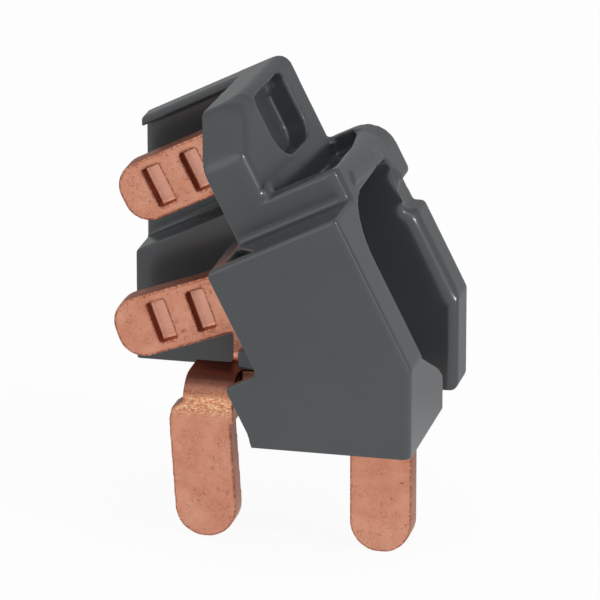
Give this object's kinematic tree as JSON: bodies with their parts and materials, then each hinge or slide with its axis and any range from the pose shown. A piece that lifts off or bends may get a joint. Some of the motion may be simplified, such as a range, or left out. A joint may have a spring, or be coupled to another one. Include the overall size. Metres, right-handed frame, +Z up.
{
  "type": "comb busbar",
  "caption": "Plug-in comb busbar feeder: bent copper bars with round-ended pins and stamped tabs, held in a leaning moulded cover.",
  "frame": {"origin": "midway between the two pins, on their mid-plane, level with the underside of the cover", "axes": "+Z up, away from the pins' tips; +X from the left pin to the right pin; +Y to the back of the cover"},
  "size_m": [0.0522, 0.0415, 0.0681],
  "materials": {
    "moulding": "satin anthracite moulded polyamide",
    "copper": "bare blanked copper"
  },
  "bodies": {
    "root": {"cover": "moulding", "near_bar": "copper", "far_bar": "copper"}
  },
  "joints": []
}
